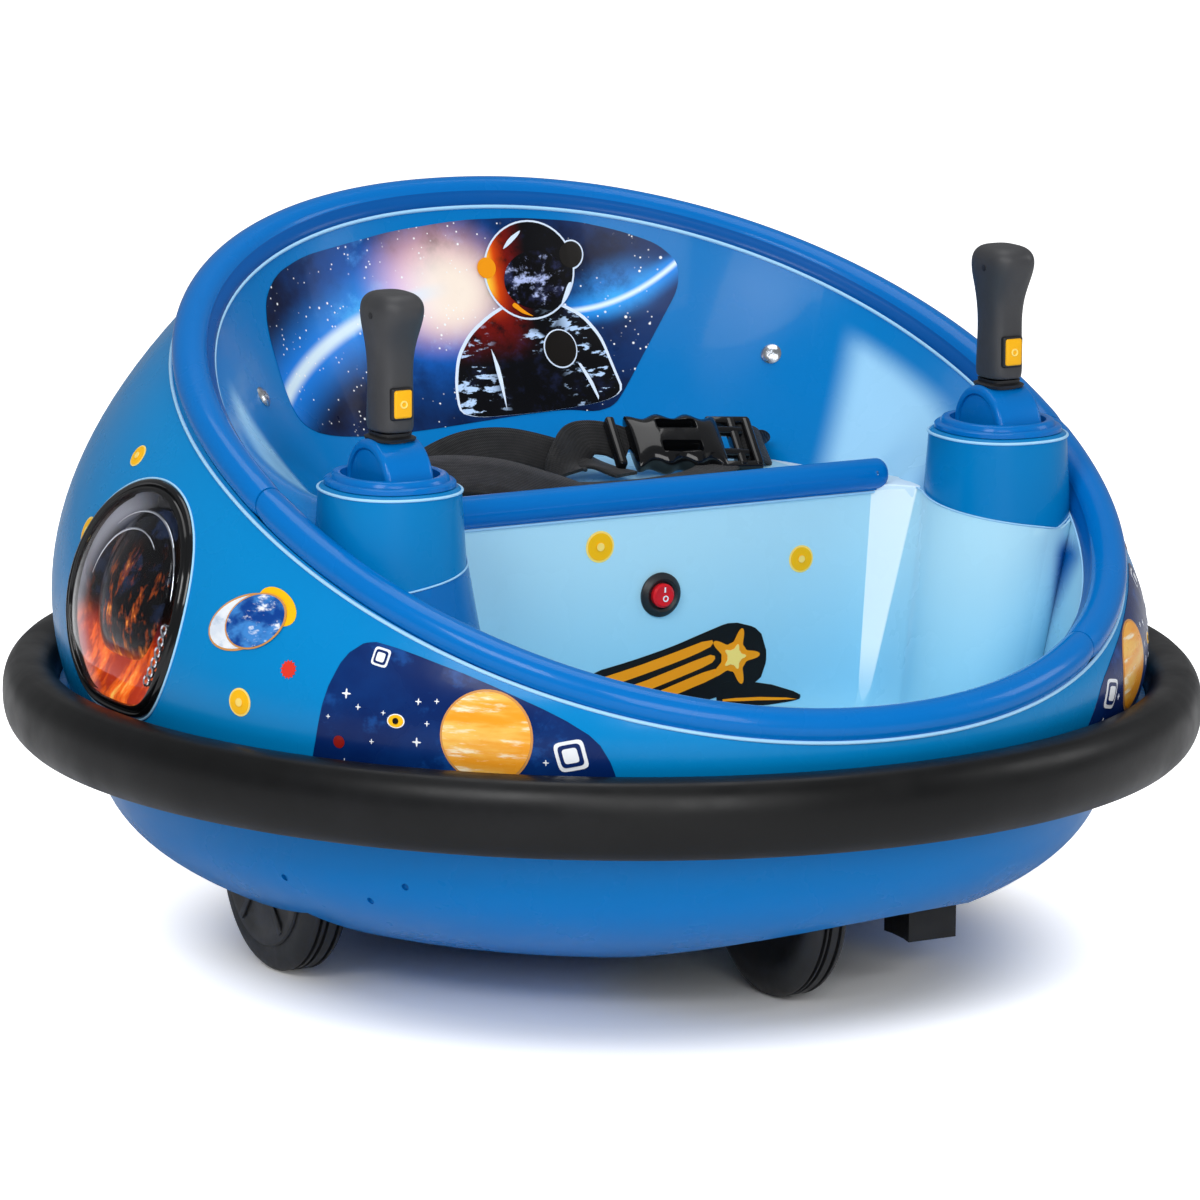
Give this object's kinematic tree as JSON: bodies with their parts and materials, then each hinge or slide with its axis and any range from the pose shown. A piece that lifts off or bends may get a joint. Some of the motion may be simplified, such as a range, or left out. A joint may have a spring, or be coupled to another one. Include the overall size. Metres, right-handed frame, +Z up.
{
  "type": "bumper car",
  "caption": "Child's ride-on bumper car: round tub body in a rubber ring, seat and footwell, two joysticks, drive wheels and swivel casters.",
  "frame": {"origin": "centre of the bounding box, on the floor that the wheels stand on", "axes": "+Z up; the front of the car faces -Y; +X is the right side seen from the front looking towards +Y; the drive axles run along X"},
  "size_m": [0.724, 0.744, 0.4287],
  "materials": {
    "axle_steel": "plain",
    "backrest_blue": "gloss moulded plastic",
    "battery_grey": "plain block",
    "bumper_rubber": "satin black rubber",
    "underside_black": "moulded plastic",
    "fork_steel": "zinc plated",
    "wheel_black": "moulded plastic",
    "console_blue": "gloss moulded plastic",
    "liner_pale": "gloss moulded plastic",
    "gearbox_black": "moulded plastic",
    "buckle_black": "satin",
    "webbing_black": "woven webbing",
    "trim_royal": "gloss moulded plastic",
    "button_yellow": "gloss",
    "grip_grey": "fine matt grain",
    "neck_black": "matt",
    "light_black": "gloss",
    "lens_clear": "clear gloss plastic",
    "reflector_chrome": "plated plastic",
    "hull_blue": "satin moulded plastic",
    "screw_steel": "plated",
    "switch_black": "satin",
    "switch_red": "gloss",
    "body_blue": "gloss moulded plastic",
    "wheel_cap_black": "moulded plastic"
  },
  "bodies": {
    "car": {"backrest_shell": "backrest_blue", "battery_block": "battery_grey", "bumper_ring": "bumper_rubber", "caster_cup_front": "underside_black", "caster_cup_rear": "underside_black", "console_left": "console_blue", "console_right": "console_blue", "footwell_tub": "liner_pale", "gearbox_left": "gearbox_black", "gearbox_right": "gearbox_black", "harness_buckle": "buckle_black", "harness_strap": "webbing_black", "joystick_bezel_left": "trim_royal", "joystick_bezel_right": "trim_royal", "light_bezel_left": "light_black", "light_bezel_right": "light_black", "light_lens_left": "lens_clear", "light_lens_right": "lens_clear", "light_reflector_left": "reflector_chrome", "light_reflector_right": "reflector_chrome", "lower_hull": "hull_blue", "rim_roll_front": "trim_royal", "rim_roll_rear": "trim_royal", "rim_roll_side": "trim_royal", "screw_cap_left": "screw_steel", "screw_cap_right": "screw_steel", "seat_bolster": "trim_royal", "seat_pan": "liner_pale", "side_wing_left": "liner_pale", "side_wing_right": "liner_pale", "switch_bezel": "switch_black", "switch_rocker": "switch_red", "underside_bracket": "underside_black", "upper_body": "body_blue"},
    "joystick_left": {"joystick_button_left": "button_yellow", "joystick_grip_left": "grip_grey", "joystick_neck_left": "neck_black", "joystick_rocker_left": "trim_royal"},
    "drive_left": {"axle_left": "axle_steel", "drive_wheel_left": "wheel_black", "wheel_cap_left": "wheel_cap_black"},
    "joystick_right": {"joystick_button_right": "button_yellow", "joystick_grip_right": "grip_grey", "joystick_neck_right": "neck_black", "joystick_rocker_right": "trim_royal"},
    "drive_right": {"axle_right": "axle_steel", "drive_wheel_right": "wheel_black", "wheel_cap_right": "wheel_cap_black"},
    "caster_front": {"caster_fork_front": "fork_steel"},
    "caster_roller_front": {"caster_wheel_front": "wheel_black"},
    "caster_rear": {"caster_fork_rear": "fork_steel"},
    "caster_roller_rear": {"caster_wheel_rear": "wheel_black"}
  },
  "joints": [
    {"name": "joystick_left_tilt", "type": "hinge", "parent": "car", "child": "joystick_left", "pos_m": [-0.208, -0.117, 0.3055], "axis": [1, 0, 0], "range_deg": [-15, 15], "stiffness_Nm_per_rad": 0.6},
    {"name": "drive_left_spin", "type": "hinge", "parent": "car", "child": "drive_left", "pos_m": [-0.229, -0.025, 0.0625], "axis": [1, 0, 0], "continuous": true},
    {"name": "joystick_right_tilt", "type": "hinge", "parent": "car", "child": "joystick_right", "pos_m": [0.208, -0.117, 0.3055], "axis": [1, 0, 0], "range_deg": [-15, 15], "stiffness_Nm_per_rad": 0.6},
    {"name": "drive_right_spin", "type": "hinge", "parent": "car", "child": "drive_right", "pos_m": [0.229, -0.025, 0.0625], "axis": [1, 0, 0], "continuous": true},
    {"name": "caster_front_swivel", "type": "hinge", "parent": "car", "child": "caster_front", "pos_m": [0, -0.19, 0.138], "axis": [0, 0, 1], "continuous": true},
    {"name": "caster_front_spin", "type": "hinge", "parent": "caster_front", "child": "caster_roller_front", "pos_m": [0, -0.212, 0.0625], "axis": [1, 0, 0], "continuous": true},
    {"name": "caster_rear_swivel", "type": "hinge", "parent": "car", "child": "caster_rear", "pos_m": [0, 0.19, 0.138], "axis": [0, 0, 1], "continuous": true},
    {"name": "caster_rear_spin", "type": "hinge", "parent": "caster_rear", "child": "caster_roller_rear", "pos_m": [0, 0.168, 0.0625], "axis": [1, 0, 0], "continuous": true}
  ]
}
